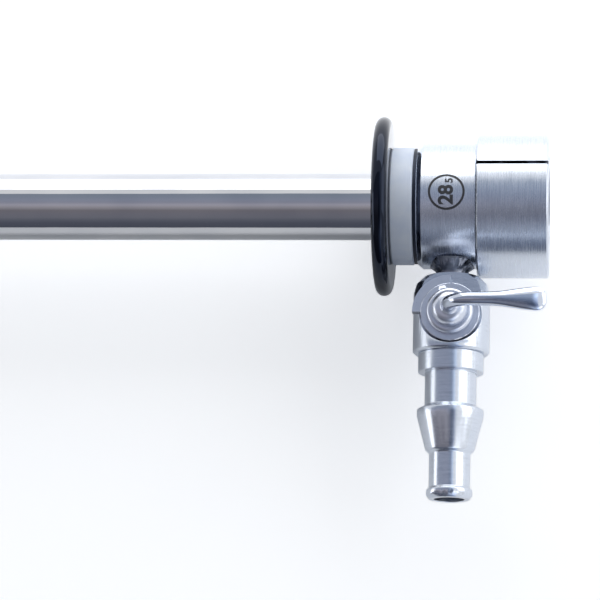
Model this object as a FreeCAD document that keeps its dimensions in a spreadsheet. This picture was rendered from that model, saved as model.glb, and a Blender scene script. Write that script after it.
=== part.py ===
"""Resectoscope sheath: a steel tube with an insulating tip, a guard disc, a size ring, an
irrigation collar with a stopcock and hose barb, and a drum with a spring-loaded latch button.

The origin is on the tube's axis at the drum's near face. +X points to the near end, the
stopcock hangs towards -Y, and +Z is the side that carries the size mark and the lever.
"""
import FreeCAD, Part
import os

import Sketcher
from FreeCAD import Placement, Rotation, Vector

doc = FreeCAD.newDocument("resectoscope_sheath")

# Driving dimensions, in millimetres, and angles in degrees.
SIZES = {
    "tube_radius": 4.75,
    "tube_wall": 0.35,
    "working_length": 190.0,
    "tube_seat_depth": 5.0,
    "beak_length": 13.0,
    "beak_spigot_length": 6.0,
    "beak_bore": 3.9,
    "beak_spigot_wall": 0.45,
    "beak_cut_angle": 48.0,
    "beak_seat_step": 0.15,
    "beak_lip_edge": 0.25,
    "glue_gap": 0.02,
    "running_gap": 0.05,
    "seat_gap": 0.02,
    "disc_radius": 12.58,
    "disc_thickness": 2.0,
    "disc_rim_round": 0.96,
    "ring_radius": 8.24,
    "ring_width": 3.25,
    "ring_edge": 0.22,
    "seal_radius": 8.12,
    "seal_width": 0.45,
    "collar_radius": 8.83,
    "collar_length": 8.3,
    "collar_chamfer_length": 0.75,
    "collar_chamfer_depth": 0.62,
    "collar_edge": 0.12,
    "port_from_drum": 3.45,
    "channel_radius": 7.2,
    "channel_width": 3.2,
    "sleeve_radius": 6.0,
    "socket_bore": 5.0,
    "sleeve_flange_radius": 7.2,
    "sleeve_flange_thickness": 0.8,
    "water_hole_radius": 0.9,
    "drum_radius": 10.07,
    "drum_length": 9.95,
    "drum_edge": 0.25,
    "mouth_bore": 5.5,
    "mouth_depth": 3.2,
    "core_radius": 6.6,
    "slit_height": 3.84,
    "slit_width": 0.52,
    "button_travel": 0.45,
    "plate_thickness": 1.2,
    "plate_from_face": 1.6,
    "plate_radius": 7.6,
    "plate_top_radius": 9.3,
    "stop_pin_radius": 0.5,
    "stop_pin_length": 4.6,
    "guide_pin_radius": 0.45,
    "guide_pin_inset": 2.57,
    "guide_pin_from_face": 6.5,
    "guide_pin_length": 6.6,
    "guide_pin_cover": 0.65,
    "spring_wire": 0.15,
    "spring_radius": 0.82,
    "spring_turns": 3.0,
    "spring_pocket_depth": 2.1,
    "screw_head_radius": 0.95,
    "screw_head_length": 0.8,
    "screw_radius": 0.55,
    "screw_length": 5.0,
    "screw_height": 8.55,
    "screw_slot": 0.3,
    "locating_pin_radius": 0.45,
    "locating_pin_length": 1.9,
    "locating_pin_reach": 5.15,
    "locating_pin_from_face": 0.8,
    "foot_sink": 0.73,
    "foot_radius": 4.1,
    "foot_length": 1.3,
    "neck_radius": 2.3,
    "tenon_radius": 2.0,
    "neck_spigot_radius": 2.5,
    "neck_spigot_depth": 1.1,
    "port_bore": 1.5,
    "neck_height": 1.17,
    "body_radius": 5.33,
    "body_end_wall": 1.62,
    "body_shoulder_round": 2.8,
    "body_bottom_edge": 0.3,
    "neck_engagement": 1.2,
    "plug_from_top": 6.25,
    "flow_bore": 1.9,
    "recess_radius": 4.3,
    "recess_floor": 3.1,
    "wing_floor": 3.35,
    "rear_face": 4.3,
    "rear_face_radius": 3.9,
    "washer_radius": 3.4,
    "spring_washer_radius": 3.1,
    "plug_front_radius": 3.3,
    "plug_rear_radius": 2.72,
    "plug_gap": 0.03,
    "flange_radius": 4.05,
    "flange_lift": 0.15,
    "flange_top": 5.45,
    "flange_edge": 0.15,
    "wing_radius": 5.22,
    "wing_gap": 0.05,
    "wing_drop": 0.35,
    "stop_relief": 0.6,
    "stop_angle": 90.0,
    "hub_step_radius": 3.22,
    "hub_step_height": 1.15,
    "hub_step_round": 0.6,
    "dome_radius": 2.42,
    "dome_height": 2.4,
    "dome_round": 1.45,
    "tail_radius": 1.5,
    "thrust_washer": 0.45,
    "spring_washer": 0.4,
    "nut_height": 1.9,
    "nut_radius": 3.2,
    "nut_slot_width": 0.8,
    "nut_slot_depth": 0.7,
    "tail_stub": 0.3,
    "lever_rod_radius": 0.93,
    "lever_height": 13.2,
    "lever_bend": 3.2,
    "lever_flare_start": 5.6,
    "lever_reach": 13.35,
    "paddle_half_width": 1.62,
    "paddle_half_thickness": 0.72,
    "paddle_end_half_width": 0.95,
    "paddle_end_half_thickness": 0.32,
    "barb_flange_radius": 4.54,
    "barb_flange_length": 2.65,
    "barb_neck_radius": 3.58,
    "barb_neck_length": 4.65,
    "barb_radius": 4.62,
    "barb_lead_in": 0.6,
    "barb_land": 0.85,
    "barb_cone_length": 4.7,
    "barb_cone_end": 3.4,
    "barb_tip_step": 0.55,
    "barb_tip_radius": 2.86,
    "barb_tip_length": 4.7,
    "bead_radius": 3.18,
    "bead_rise": 0.3,
    "bead_length": 0.75,
    "bead_lead_out": 0.55,
    "bead_end_radius": 2.78,
    "barb_bore": 2.1,
    "barb_spigot_radius": 2.9,
}

# Values that follow from the driving dimensions.
DERIVED = {
    "seal_start": "drum_length + collar_length",
    "ring_start": "seal_start + seal_width",
    "disc_start": "ring_start + ring_width",
    "hub_length": "disc_start + disc_thickness",
    "tube_end": "hub_length - tube_seat_depth",
    "beak_joint": "hub_length + working_length - beak_length",
    "port_place": "drum_length + port_from_drum",
    "fit_radius": "sleeve_radius + seat_gap",
    "slit_top": "slit_height + slit_width / 2",
    "slit_bottom": "slit_height - slit_width / 2",
    "relief_radius": "core_radius + button_travel + 2 * running_gap",
    "guide_pin_offset": "drum_radius - guide_pin_inset",
    "guide_pin_seat": "sqrt(drum_radius ^ 2 - (guide_pin_offset + guide_pin_radius) ^ 2)"
                      " - slit_top - guide_pin_cover",
    "plate_near": "plate_from_face + running_gap",
    "plate_far": "plate_near + plate_thickness",
    "slot_radius": "plate_radius + running_gap",
    "plate_opening": "mouth_bore + running_gap",
    "foot_start": "collar_radius - foot_sink",
    "body_top": "collar_radius + neck_height",
    "plug_from_axis": "body_top + plug_from_top",
    "body_bottom": "plug_from_axis + plug_front_radius + plug_gap + body_end_wall",
    "body_length": "body_bottom - body_top",
    "barb_spigot_length": "body_end_wall - 4 * running_gap",
    "beak_seat_length": "beak_spigot_length + 4 * running_gap",
    "washer_face": "rear_face + running_gap",
    "spring_face": "washer_face + thrust_washer",
    "nut_face": "spring_face + spring_washer",
    "tail_end": "nut_face + nut_height + tail_stub",
    "step_top": "flange_top + hub_step_height",
    "dome_top": "step_top + dome_height",
}

sheet = doc.addObject("Spreadsheet::Sheet", "dims")
for row, (alias, value) in enumerate(SIZES.items(), start=1):
    sheet.set(f"A{row}", alias)
    sheet.set(f"B{row}", str(value))
    sheet.setAlias(f"B{row}", alias)
for row, (alias, formula) in enumerate(DERIVED.items(), start=len(SIZES) + 1):
    sheet.set(f"A{row}", alias)
    sheet.set(f"B{row}", "=" + formula)
    sheet.setAlias(f"B{row}", alias)
doc.recompute()

ALIASES = [*SIZES, *DERIVED]
DIRECTIONS = {
    "+X": Rotation(),
    "-Y": Rotation(Vector(0, 0, 1), -90),
    "+Y": Rotation(Vector(0, 0, 1), 90),
    "+Z": Rotation(Vector(0, 1, 0), -90),
    "-Z": Rotation(Vector(0, 1, 0), 90),
}
PRIMITIVE_AXIS = Rotation(Vector(0, 1, 0), 90)


def size(alias):
    """The value of one cell of the sheet."""
    return float(getattr(sheet, alias))


def cell(formula):
    """Turn a formula in plain cell names into an expression on the sheet."""
    words = []
    word = ""
    for letter in str(formula) + " ":
        if letter.isalnum() or letter in "_.":
            word += letter
            continue
        words.append(f"dims.{word}" if word in ALIASES else word)
        words.append(letter)
        word = ""
    return "".join(words).strip()


def place(item, at, direction="+X", primitive=False):
    """Put an object at three formulas, with its own X (or a primitive's axis) along a direction."""
    turn = DIRECTIONS[direction]
    item.Placement = Placement(Vector(), turn.multiply(PRIMITIVE_AXIS) if primitive else turn)
    for axis, formula in zip("xyz", at):
        item.setExpression(f".Placement.Base.{axis}", cell(formula))


def bind(item, **formulas):
    """Bind properties of an object to formulas."""
    for name, formula in formulas.items():
        item.setExpression(name, cell(formula))
    return item


def cylinder(name, radius, length, at, direction="+X"):
    """A cylinder that starts at a point and runs along a direction."""
    item = doc.addObject("Part::Cylinder", name)
    bind(item, Radius=radius, Height=length)
    place(item, at, direction, primitive=True)
    return item


def cone(name, start_radius, end_radius, length, at, direction="+X"):
    """A cone that starts at a point and runs along a direction."""
    item = doc.addObject("Part::Cone", name)
    bind(item, Radius1=start_radius, Radius2=end_radius, Height=length)
    place(item, at, direction, primitive=True)
    return item


def box(name, sizes, at):
    """A box that starts at its lowest corner."""
    item = doc.addObject("Part::Box", name)
    bind(item, Length=sizes[0], Width=sizes[1], Height=sizes[2])
    place(item, at)
    return item


def join(name, pieces, kind="Part::MultiFuse"):
    """One shape from several: a fuse, a common part or a group of separate solids."""
    item = doc.addObject(kind, name)
    if kind == "Part::Compound":
        item.Links = pieces
    else:
        item.Shapes = pieces
    return item


def cut(name, base, *tools):
    """A piece with tools taken away."""
    item = doc.addObject("Part::Cut", name)
    item.Base = base
    item.Tool = tools[0] if len(tools) == 1 else join(name + "_tools", list(tools))
    return item


def origin_plane(body, role):
    """One of a body's own origin planes."""
    return [item for item in body.Origin.OriginFeatures if item.Role == role][0]


def profile_sketch(body, name, points):
    """A closed outline of straight sides; each corner is a pair of formulas, never negative."""
    sketch = body.newObject("Sketcher::SketchObject", name)
    sketch.AttachmentSupport = [(origin_plane(body, "XY_Plane"), "")]
    sketch.MapMode = "FlatFace"
    corners = [Vector(number(x), number(y), 0) for x, y in points]
    count = len(corners)
    for index in range(count):
        sketch.addGeometry(Part.LineSegment(corners[index], corners[(index + 1) % count]), False)
    for index in range(count):
        sketch.addConstraint(Sketcher.Constraint("Coincident", index, 2, (index + 1) % count, 1))
    for index, (x, y) in enumerate(points):
        for formula, kind, axis in ((x, "DistanceX", -2), (y, "DistanceY", -1)):
            if number(formula) == 0:
                sketch.addConstraint(Sketcher.Constraint("PointOnObject", index, 1, axis))
                continue
            held = sketch.addConstraint(
                Sketcher.Constraint(kind, -1, 1, index, 1, number(formula)))
            sketch.setExpression(f"Constraints[{held}]", cell(formula))
    return sketch


def number(formula):
    """The present value of a formula in cell names."""
    return float(sheet.evalExpression(cell(formula).replace("dims.", "")))


def turned(label, points, at, direction="+X"):
    """A body turned about its own X axis from an outline of (length, radius) corners."""
    body = doc.addObject("PartDesign::Body", label)
    sketch = profile_sketch(body, label + "_outline", points)
    turn = body.newObject("PartDesign::Revolution", label + "_turning")
    turn.Profile = sketch
    turn.ReferenceAxis = (sketch, ["H_Axis"])
    turn.Angle = 360
    place(body, at, direction)
    doc.recompute()
    return body


def circle_at(station, radius):
    """A test for a circular edge at a length and a radius on a turned body."""
    def test(edge):
        curve = edge.Curve
        return (isinstance(curve, Part.Circle) and abs(curve.Center.x - station) < 1e-4
                and abs(curve.Radius - radius) < 1e-4)
    return test


def dress(body, amount, *places):
    """Chamfer the circular edges that lie at the given (length, radius) formulas."""
    base = body.Tip
    tests = [circle_at(number(station), number(radius)) for station, radius in places]
    edges = [f"Edge{index}" for index, edge in enumerate(base.Shape.Edges, start=1)
             if any(test(edge) for test in tests)]
    if not edges:
        raise ValueError(f"{body.Label}: no edge to dress")
    item = body.newObject("PartDesign::Chamfer", f"{body.Name}_edge")
    item.Base = (base, edges)
    bind(item, Size=amount)
    doc.recompute()
    return body


def ring(label, inner, outer, width, at, direction="+X"):
    """A plain turned ring that starts at a point on its axis and runs along a direction."""
    points = [("0", inner), (width, inner), (width, outer), ("0", outer)]
    return turned(label, points, at, direction)


def padded(body, outline, length, at):
    """Pad an outline of (x, y) corners along Z and put the body at a point."""
    sketch = profile_sketch(body, body.Label + "_outline", outline)
    pad = body.newObject("PartDesign::Pad", body.Label + "_pad")
    pad.Profile = sketch
    bind(pad, Length=length)
    place(body, at)
    doc.recompute()
    return body


def eased(x, y, amount, x_way, y_way, flats):
    """Corners of the narrow flats that ease a corner, from its x side to its y side."""
    corners = []
    for step in range(flats + 1):
        angle = 90 * step / flats
        corners.append((f"{x} {x_way} {amount} * (1 - sin({angle}))",
                        f"{y} {y_way} {amount} * (1 - cos({angle}))"))
    return corners


def make_tube():
    """The thin tube, seated in the sleeve at its near end, with a slight cone for the tip."""
    bore = "tube_radius - tube_wall"
    points = [
        ("0", f"{bore} + beak_seat_step"),
        ("beak_seat_length", bore),
        ("beak_joint - tube_end", bore),
        ("beak_joint - tube_end", "tube_radius"),
        ("0", "tube_radius"),
    ]
    turned("sheath_tube", points, ("-beak_joint", "0", "0"))


def make_beak():
    """The insulating tip: a slim cone in the tube and an oblique mouth, longest above."""
    root = "tube_radius - tube_wall + beak_seat_step - glue_gap"
    nose = f"{root} - beak_seat_step * beak_spigot_length / beak_seat_length"
    points = [
        ("0", "beak_bore"),
        ("beak_length", "beak_bore"),
        ("beak_length + beak_spigot_length", f"{nose} - beak_spigot_wall"),
        ("beak_length + beak_spigot_length", nose),
        ("beak_length", root),
        ("beak_length", "tube_radius"),
        ("0", "tube_radius"),
    ]
    blank = turned("beak_blank", points, ("-beak_joint - beak_length", "0", "0"))
    run = "2 * tube_radius / tan(beak_cut_angle)"
    slant = doc.addObject("PartDesign::Body", "beak_slant")
    padded(slant, [("0", "0"), (f"1.5 * {run}", "0"), ("0", "3 * tube_radius")],
           "4 * tube_radius",
           (f"-beak_joint - beak_length - 0.25 * {run} + (tube_radius - beak_bore)"
            " / tan(beak_cut_angle)",
            "-1.5 * tube_radius", "-2 * tube_radius"))
    mouth = cut("beak_mouth", blank, slant)
    doc.recompute()
    lip = doc.addObject("Part::Chamfer", "insulating_beak")
    lip.Base = mouth
    edge = size("beak_lip_edge")
    lip.Edges = [(index, edge, edge)
                 for index, rim in enumerate(mouth.Shape.Edges, start=1)
                 if isinstance(rim.Curve, Part.Ellipse)]


def make_sleeve():
    """The flanged sleeve: it holds the tube, and guides what is pushed in."""
    end = "hub_length - mouth_depth"
    points = [
        ("0", "tube_radius + glue_gap"),
        ("tube_seat_depth", "tube_radius + glue_gap"),
        ("tube_seat_depth", "socket_bore"),
        (end, "socket_bore"),
        (end, "sleeve_radius"),
        ("sleeve_flange_thickness", "sleeve_radius"),
        ("sleeve_flange_thickness", "sleeve_flange_radius"),
        ("0", "sleeve_flange_radius"),
    ]
    barrel = turned("sleeve_barrel", points, ("-hub_length", "0", "0"))
    holes = []
    for turn in range(0, 360, 90):
        hole = cylinder(f"water_hole_{turn}", "water_hole_radius", "1.2 * sleeve_radius",
                        ("-port_place", "0", "0"), "-Y")
        hole.Placement.Rotation = Rotation(Vector(1, 0, 0), turn).multiply(
            hole.Placement.Rotation)
        holes.append(hole)
    cut("hub_sleeve", barrel, *holes)


def make_disc_and_rings():
    """The guard disc with its full round rim, the size ring and the thin seal ring."""
    points = [
        ("0", "sleeve_flange_radius + seat_gap"),
        ("sleeve_flange_thickness", "sleeve_flange_radius + seat_gap"),
        ("sleeve_flange_thickness", "fit_radius"),
        ("disc_thickness", "fit_radius"),
    ]
    far_rim = eased("0", "disc_radius", "disc_rim_round", "+", "-", 3)
    near_rim = eased("disc_thickness", "disc_radius", "disc_rim_round", "-", "-", 3)
    turned("guard_disc", points + near_rim[::-1] + far_rim, ("-hub_length", "0", "0"))
    band = ring("colour_ring", "fit_radius", "ring_radius", "ring_width",
                ("-disc_start", "0", "0"))
    dress(band, "ring_edge", ("0", "ring_radius"), ("ring_width", "ring_radius"))
    ring("seal_ring", "fit_radius", "seal_radius", "seal_width", ("-ring_start", "0", "0"))


def make_collar():
    """The irrigation collar: water channel, bevel, neck seat and port."""
    middle = "(collar_length - port_from_drum)"
    points = [
        ("0", "fit_radius"),
        (f"{middle} - channel_width / 2", "fit_radius"),
        (f"{middle} - channel_width / 2", "channel_radius"),
        (f"{middle} + channel_width / 2", "channel_radius"),
        (f"{middle} + channel_width / 2", "fit_radius"),
        ("collar_length", "fit_radius"),
        ("collar_length", "collar_radius - collar_edge"),
        ("collar_length - collar_edge", "collar_radius"),
        ("collar_chamfer_length", "collar_radius"),
        ("0", "collar_radius - collar_chamfer_depth"),
    ]
    blank = turned("collar_blank", points, ("-seal_start", "0", "0"))
    seat = cylinder("neck_seat", "neck_spigot_radius + glue_gap", "2 * neck_spigot_depth",
                    ("-port_place", "neck_spigot_depth - collar_radius", "0"), "-Y")
    port = cylinder("collar_port", "port_bore", "collar_radius",
                    ("-port_place", "0", "0"), "-Y")
    cut("irrigation_collar", blank, seat, port)


def drum_blank():
    """The turned drum that both the housing and the button are cut from."""
    mouth = "drum_length - mouth_depth"
    points = [
        ("0", "fit_radius"),
        (mouth, "fit_radius"),
        (mouth, "mouth_bore"),
        ("drum_length", "mouth_bore"),
        ("drum_length", "drum_radius - drum_edge"),
        ("drum_length - drum_edge", "drum_radius"),
        ("drum_edge", "drum_radius"),
        ("0", "drum_radius - drum_edge"),
    ]
    return turned("drum_blank", points, ("-drum_length", "0", "0"))


def pin_sites(name, offset):
    """The two sides of the drum: a name and the formula of the place along Z."""
    return [(f"{name}_front", offset), (f"{name}_back", f"-{offset}")]


def make_housing(blank):
    """The drum below the slit, with its round core, plate slot and pin holes."""
    keep_below = box("below_slit",
                     ("2 * drum_length", "2 * drum_radius", "4 * drum_radius"),
                     ("-1.5 * drum_length", "slit_bottom - 2 * drum_radius",
                      "-2 * drum_radius"))
    core = cylinder("drum_core", "core_radius", "drum_length", ("-drum_length", "0", "0"))
    kept = join("drum_kept", [keep_below, core])
    body = join("drum_below", [blank, kept], "Part::MultiCommon")
    slot_width = "plate_thickness + 2 * running_gap"
    slot_start = "-plate_far - running_gap"
    tools = [
        cylinder("plate_slot_round", "slot_radius", slot_width, (slot_start, "0", "0")),
        box("plate_slot_open", (slot_width, "drum_radius", "2 * slot_radius"),
            (slot_start, "0", "-slot_radius")),
        cylinder("locating_pin_hole", "locating_pin_radius + seat_gap",
                 "locating_pin_length + seat_gap",
                 ("-locating_pin_from_face", "-locating_pin_reach", "0"), "-Y"),
    ]
    for name, side in pin_sites("stop_pin_hole", "plate_radius"):
        tools.append(cylinder(name, "stop_pin_radius + seat_gap", "stop_pin_length + 1",
                              ("-stop_pin_length", "0", side)))
    for name, side in pin_sites("guide_pin_hole", "guide_pin_offset"):
        tools.append(cylinder(name, "guide_pin_radius + running_gap",
                              "guide_pin_length - guide_pin_seat + button_travel",
                              ("-guide_pin_from_face", "slit_bottom", side), "-Y"))
    for name, side in pin_sites("spring_pocket", "guide_pin_offset"):
        tools.append(cylinder(name, "spring_radius + 2 * spring_wire", "spring_pocket_depth",
                              ("-guide_pin_from_face", "slit_bottom", side), "-Y"))
    cut("lock_housing", body, *tools)


def plate_shape(name, side, top_radius, start, width):
    """The outline that the plate has above its middle, for the plate and its pocket."""
    block = box(name + "_sides", (width, "drum_radius", f"2 * ({side})"),
                (start, "button_travel", f"-({side})"))
    limit = cylinder(name + "_top", top_radius, width, (start, "0", "0"))
    return join(name, [block, limit], "Part::MultiCommon")


def make_button(blank):
    """The drum above the slit: it straddles the core and carries the plate and two pins."""
    keep_above = box("above_slit",
                     ("2 * drum_length", "drum_radius", "4 * drum_radius"),
                     ("-1.5 * drum_length", "slit_top", "-2 * drum_radius"))
    body = join("drum_above", [blank, keep_above], "Part::MultiCommon")
    tools = [
        cylinder("core_relief", "relief_radius", "2 * drum_length",
                 ("-1.5 * drum_length", "0", "0")),
        plate_shape("plate_pocket", "plate_radius + seat_gap", "plate_top_radius + seat_gap",
                    "-plate_far - seat_gap", "plate_thickness + 2 * seat_gap"),
        cylinder("screw_head_hole", "screw_head_radius + seat_gap", "screw_head_length + 1",
                 ("-screw_head_length", "screw_height", "0")),
        cylinder("screw_hole", "screw_radius + seat_gap", "screw_length",
                 ("-screw_length", "screw_height", "0")),
    ]
    for name, side in pin_sites("guide_pin_seat_hole", "guide_pin_offset"):
        tools.append(cylinder(name, "guide_pin_radius + seat_gap", "guide_pin_seat",
                              ("-guide_pin_from_face", "slit_top", side), "+Y"))
    cut("release_button", body, *tools)


def make_latch():
    """The sliding plate whose opening catches the inner piece, with its screw and stop pins."""
    start = "-plate_far"
    upper = plate_shape("plate_upper", "plate_radius", "plate_top_radius", start,
                        "plate_thickness")
    lower = cylinder("plate_lower", "plate_radius", "plate_thickness",
                     (start, "button_travel", "0"))
    outline = join("plate_outline", [upper, lower])
    tools = [
        cylinder("plate_opening_hole", "plate_opening", "2 * plate_thickness",
                 ("-plate_far - plate_thickness / 2", "button_travel", "0")),
        cylinder("plate_screw_hole", "screw_radius + seat_gap", "2 * plate_thickness",
                 ("-plate_far - plate_thickness / 2", "screw_height", "0")),
    ]
    notch = "stop_pin_radius + running_gap"
    for name, corner in (("plate_notch_front", f"plate_radius - ({notch})"),
                         ("plate_notch_back", f"-plate_radius - ({notch})")):
        tools.append(box(name,
                         ("2 * plate_thickness",
                          "2 * stop_pin_radius + seat_gap + button_travel + running_gap",
                          f"2 * ({notch})"),
                         ("-plate_far - plate_thickness / 2", "-stop_pin_radius - seat_gap",
                          corner)))
    cut("latch_plate", outline, *tools)
    head = cylinder("screw_head", "screw_head_radius", "screw_head_length",
                    ("-screw_head_length", "screw_height", "0"))
    shank = cylinder("screw_shank", "screw_radius", "screw_length",
                     ("-screw_length", "screw_height", "0"))
    slot = box("screw_slot_cut",
               ("screw_head_length", "screw_slot", "4 * screw_head_radius"),
               ("-screw_head_length / 2", "screw_height - screw_slot / 2",
                "-2 * screw_head_radius"))
    cut("latch_screw", join("screw_form", [head, shank]), slot)
    stops = [cylinder(name, "stop_pin_radius", "stop_pin_length", ("-stop_pin_length", "0", side))
             for name, side in pin_sites("stop_pin", "plate_radius")]
    join("stop_pins", stops, "Part::Compound")
    guides = [cylinder(name, "guide_pin_radius", "guide_pin_length",
                       ("-guide_pin_from_face", "slit_top + guide_pin_seat", side), "-Y")
              for name, side in pin_sites("guide_pin", "guide_pin_offset")]
    join("button_guide_pins", guides, "Part::Compound")
    cylinder("locating_pin", "locating_pin_radius", "locating_pin_length",
             ("-locating_pin_from_face", "-locating_pin_reach", "0"), "-Y")


def make_springs():
    """Two square-wire springs around the guide pins, each turn drawn as short straight runs."""
    radius, wire = size("spring_radius"), size("spring_wire")
    rise = number("slit_top - slit_bottom + spring_pocket_depth - 2 * spring_wire - 2 * seat_gap")
    runs = round(size("spring_turns") * RUNS_PER_TURN)
    points = [Vector(radius, 0, 0)]
    for step in range(1, runs + 1):
        turn = Rotation(Vector(0, 1, 0), 360 * step / RUNS_PER_TURN)
        points.append(turn.multVec(Vector(radius, 0, 0)) + Vector(0, rise * step / runs, 0))
    outward = Vector(wire, 0, 0)
    upward = outward.cross(points[1] - points[0]).normalize() * wire
    square = [points[0] + outward * x + upward * y for x, y in ((-1, -1), (1, -1), (1, 1), (-1, 1))]
    coil = Part.makePolygon(points).makePipeShell(
        [Part.makePolygon(square + square[:1])], True, False, 1)
    springs = []
    for name, side in pin_sites("spring", "guide_pin_offset"):
        spring = doc.addObject("Part::Feature", name)
        spring.Shape = coil
        place(spring, ("-guide_pin_from_face",
                       "slit_bottom - spring_pocket_depth + spring_wire + seat_gap", side))
        springs.append(spring)
    join("button_springs", springs, "Part::Compound")


def make_neck():
    """The neck between collar and stopcock: a cone saddled on the collar, and a tenon."""
    points = [
        ("0", "port_bore"),
        ("body_top - foot_start + neck_engagement", "port_bore"),
        ("body_top - foot_start + neck_engagement", "tenon_radius"),
        ("body_top - foot_start", "tenon_radius"),
        ("body_top - foot_start", "neck_radius"),
        ("foot_length", "neck_radius"),
        ("0", "foot_radius"),
    ]
    foot = turned("neck_foot", points, ("-port_place", "-foot_start", "0"), "-Y")
    saddle = cylinder("collar_saddle", "collar_radius", "3 * foot_radius",
                      ("-port_place - 1.5 * foot_radius", "0", "0"))
    drum_side = cylinder("drum_clearance", "2 * drum_radius", "drum_length",
                         ("-drum_length - seat_gap", "0", "0"))
    seated = cut("neck_seated", foot, saddle, drum_side)
    spigot = ring("neck_spigot", "port_bore", "neck_spigot_radius",
                  "foot_start - collar_radius + 2 * neck_spigot_depth",
                  ("-port_place", "neck_spigot_depth - collar_radius", "0"), "-Y")
    join("port_neck", [seated, spigot])


def make_stopcock_body():
    """The barrel: shoulder, flow bore, taper bore, plug recess, milled stop and rear face."""
    points = [
        ("0", "tenon_radius + glue_gap"),
        ("neck_engagement + glue_gap", "tenon_radius + glue_gap"),
        ("neck_engagement + glue_gap", "flow_bore"),
        ("body_length - barb_spigot_length - glue_gap", "flow_bore"),
        ("body_length - barb_spigot_length - glue_gap", "barb_spigot_radius + glue_gap"),
        ("body_length", "barb_spigot_radius + glue_gap"),
        ("body_length", "body_radius - body_bottom_edge"),
        ("body_length - body_bottom_edge", "body_radius"),
        *eased("0", "body_radius", "body_shoulder_round", "+", "-", 3),
    ]
    barrel = turned("barrel", points, ("-port_place", "-body_top", "0"), "-Y")
    middle = ("-port_place", "-plug_from_axis")
    tools = [
        cone("taper_bore", "plug_front_radius + plug_gap", "plug_rear_radius + plug_gap",
             "recess_floor + rear_face", (*middle, "recess_floor"), "-Z"),
        cylinder("plug_recess", "recess_radius", "body_radius", (*middle, "recess_floor"), "+Z"),
        cylinder("rear_spot_face", "rear_face_radius", "body_radius", (*middle, "-rear_face"),
                 "-Z"),
        box("milled_stop",
            ("4 * body_radius", "plug_from_axis + stop_relief", "body_radius"),
            ("-port_place - 2 * body_radius", "-plug_from_axis - stop_relief", "wing_floor")),
    ]
    cut("stopcock_body", barrel, *tools)


def make_plug():
    """The tapered plug: cross bore, flange with its stop wing, stepped hub and threaded tail."""
    points = [
        ("0", "0"),
        ("0", "tail_radius"),
        ("tail_end - rear_face", "tail_radius"),
        ("tail_end - rear_face", "plug_rear_radius"),
        ("tail_end + recess_floor", "plug_front_radius"),
        ("tail_end + recess_floor + flange_lift", "plug_front_radius"),
        ("tail_end + recess_floor + flange_lift", "flange_radius"),
        ("tail_end + flange_top", "flange_radius"),
        ("tail_end + flange_top", "hub_step_radius"),
        *eased("tail_end + step_top", "hub_step_radius", "hub_step_round", "-", "-", 2),
        ("tail_end + step_top", "dome_radius"),
        *eased("tail_end + dome_top", "dome_radius", "dome_round", "-", "-", 3),
        ("tail_end + dome_top", "0"),
    ]
    middle = ("-port_place", "-plug_from_axis")
    core = turned("plug_core", points, (*middle, "-tail_end"), "+Z")
    dress(core, "flange_edge", ("tail_end + flange_top", "flange_radius"))
    wing = doc.addObject("Part::Cylinder", "stop_wing")
    bind(wing, Radius="wing_radius", Height="flange_top - wing_drop - wing_floor - wing_gap",
         Angle="stop_angle")
    wing.Placement = Placement(Vector(), Rotation(Vector(0, 0, 1), 90))
    for axis, formula in zip("xyz", (*middle, "wing_floor + wing_gap")):
        wing.setExpression(f".Placement.Base.{axis}", cell(formula))
    bore = cylinder("plug_cross_bore", "flow_bore", "4 * plug_front_radius",
                    ("-port_place - 2 * plug_front_radius", "-plug_from_axis", "0"))
    cut("stopcock_plug", join("plug_form", [core, wing]), bore)


def make_plug_fasteners():
    """Thrust washer, spring washer and slotted nut on the plug's tail."""
    middle = ("-port_place", "-plug_from_axis")
    hole = "tail_radius + seat_gap"
    ring("plug_washer", hole, "washer_radius", "thrust_washer", (*middle, "-washer_face"), "-Z")
    dish = [
        ("0", hole),
        ("spring_washer / 2", hole),
        ("spring_washer", "spring_washer_radius"),
        ("spring_washer / 2", "spring_washer_radius"),
    ]
    turned("plug_spring", dish, (*middle, "-spring_face"), "-Z")
    nut = ring("nut_blank", hole, "nut_radius", "nut_height", (*middle, "-nut_face"), "-Z")
    dress(nut, "flange_edge", ("nut_height", "nut_radius"))
    slot = box("nut_slot", ("nut_slot_width", "3 * nut_radius", "nut_slot_depth"),
               ("-port_place - nut_slot_width / 2", "-plug_from_axis - 1.5 * nut_radius",
                "-nut_face - nut_height"))
    cut("tension_nut", nut, slot)


def make_lever():
    """The bent rod that stands on the plug's hub and flattens into a paddle."""
    rise = "lever_height - lever_bend"
    straight = "(lever_reach - lever_flare_start)"
    stations = [("0", "dome_top", 0, "lever_rod_radius", "lever_rod_radius")]
    for angle in LEVER_ANGLES:
        stations.append((f"lever_bend * (1 - cos({angle}))",
                         f"{rise} + lever_bend * sin({angle})",
                         angle, "lever_rod_radius", "lever_rod_radius"))
    for share, width, thickness in PADDLE:
        stations.append((f"lever_flare_start + {share} * {straight}", "lever_height",
                         90, width, thickness))
    sections = []
    for index, (along, height, angle, width, thickness) in enumerate(stations):
        ellipse = doc.addObject("Part::Ellipse", f"lever_section_{index}")
        bind(ellipse, MajorRadius=width, MinorRadius=thickness)
        across = Rotation(Vector(0, 0, 1), 90)
        ellipse.Placement = Placement(
            Vector(), Rotation(Vector(0, 1, 0), angle).multiply(across))
        for axis, formula in zip("xyz", (f"-port_place + {along}", "-plug_from_axis", height)):
            ellipse.setExpression(f".Placement.Base.{axis}", cell(formula))
        sections.append(ellipse)
    loft = doc.addObject("Part::Loft", "stopcock_lever")
    loft.Sections = sections
    loft.Solid = True
    loft.Ruled = True


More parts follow.
